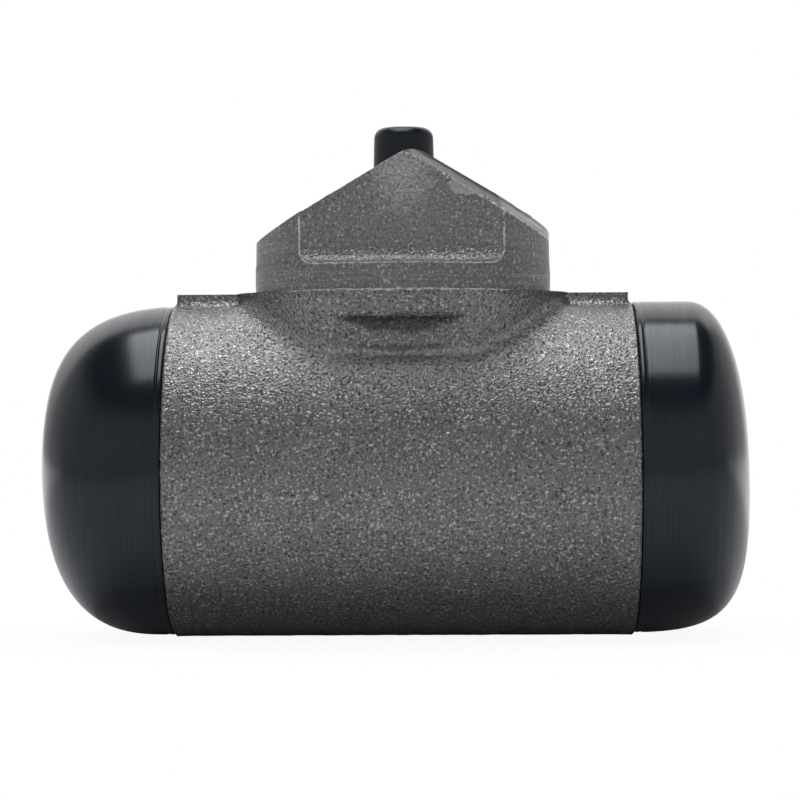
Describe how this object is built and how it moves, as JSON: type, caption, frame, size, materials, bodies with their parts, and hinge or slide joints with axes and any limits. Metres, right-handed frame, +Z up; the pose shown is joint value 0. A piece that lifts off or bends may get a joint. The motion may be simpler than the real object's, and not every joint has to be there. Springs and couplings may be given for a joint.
{
  "type": "wheel cylinder",
  "caption": "Drum-brake wheel cylinder: cast barrel with a round locating spigot, sprung pistons under domed rubber boots, an inlet port and a capped bleeder.",
  "frame": {"origin": "centre of the locating spigot on the mounting face", "axes": "+X along the bore, +Z up through the locating spigot, out of the mounting face"},
  "size_m": [0.0755, 0.0358, 0.0556],
  "materials": {
    "casting": "fine sand-cast skin, with the locating spigot and inlet face turned",
    "piston": "fine turned",
    "cup_rubber": "smooth moulded",
    "expander": "pressed sheet, plated",
    "spring_wire": "drawn wire",
    "boot_rubber": "glossy moulded, with fine rings round the skirt",
    "bleeder_steel": "bright zinc plate",
    "cap_rubber": "satin moulded"
  },
  "bodies": {
    "cylinder": {"cylinder_body": "casting", "boot_left": "boot_rubber", "boot_right": "boot_rubber", "return_spring": "spring_wire"},
    "left_piston": {"piston_left": "piston", "cup_left": "cup_rubber", "expander_left": "expander"},
    "right_piston": {"piston_right": "piston", "cup_right": "cup_rubber", "expander_right": "expander"},
    "bleeder": {"bleeder_screw": "bleeder_steel"},
    "cap": {"bleeder_cap": "cap_rubber"}
  },
  "joints": [
    {"name": "left_piston_slide", "type": "slide", "parent": "cylinder", "child": "left_piston", "axis": [1, 0, 0], "range_m": [0, 0.008], "stiffness_N_per_m": 500, "springref_m": -0.02, "deforming": ["return_spring"]},
    {"name": "right_piston_slide", "type": "slide", "parent": "cylinder", "child": "right_piston", "axis": [-1, 0, 0], "range_m": [0, 0.008], "stiffness_N_per_m": 500, "springref_m": -0.02, "deforming": ["return_spring"]},
    {"name": "bleeder_turn", "type": "hinge", "parent": "cylinder", "child": "bleeder", "pos_m": [0, 0.0096, 0], "axis": [0, 0, 1], "range_deg": [0, 360]},
    {"name": "cap_pull", "type": "slide", "parent": "bleeder", "child": "cap", "axis": [0, 0, 1], "range_m": [0, 0.012]}
  ]
}
